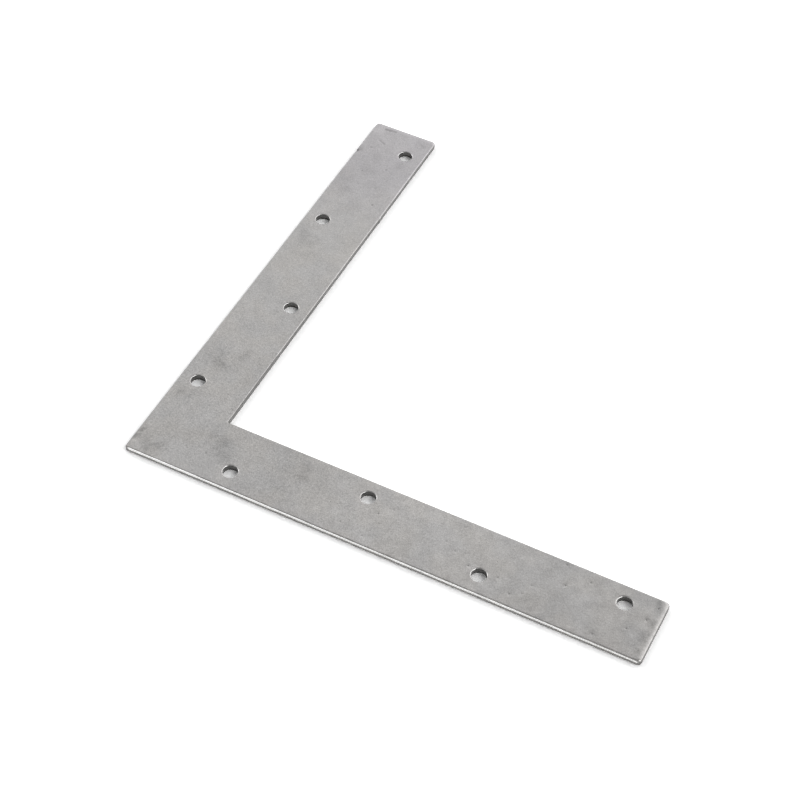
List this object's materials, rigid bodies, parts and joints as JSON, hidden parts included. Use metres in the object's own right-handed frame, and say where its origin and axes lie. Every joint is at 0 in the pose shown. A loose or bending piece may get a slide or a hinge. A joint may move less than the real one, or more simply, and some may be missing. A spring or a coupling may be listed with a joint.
{
  "type": "flat corner plate",
  "caption": "Flat L-shaped corner plate punched from steel sheet, with screw holes staggered along both arms, that lies across a corner joint and ties its two members together.",
  "frame": {"origin": "on the flat back face, which lies on the joined members, at the point where the centrelines of the two arms cross", "axes": "+X and +Y along the two arms, away from the corner; +Z out of the front face, along the screw holes, towards the screw heads"},
  "size_m": [0.1501, 0.1501, 0.002],
  "materials": {
    "tumbled_steel": "tumbled, dull satin"
  },
  "bodies": {
    "root": {"corner_plate": "tumbled_steel"}
  },
  "joints": []
}
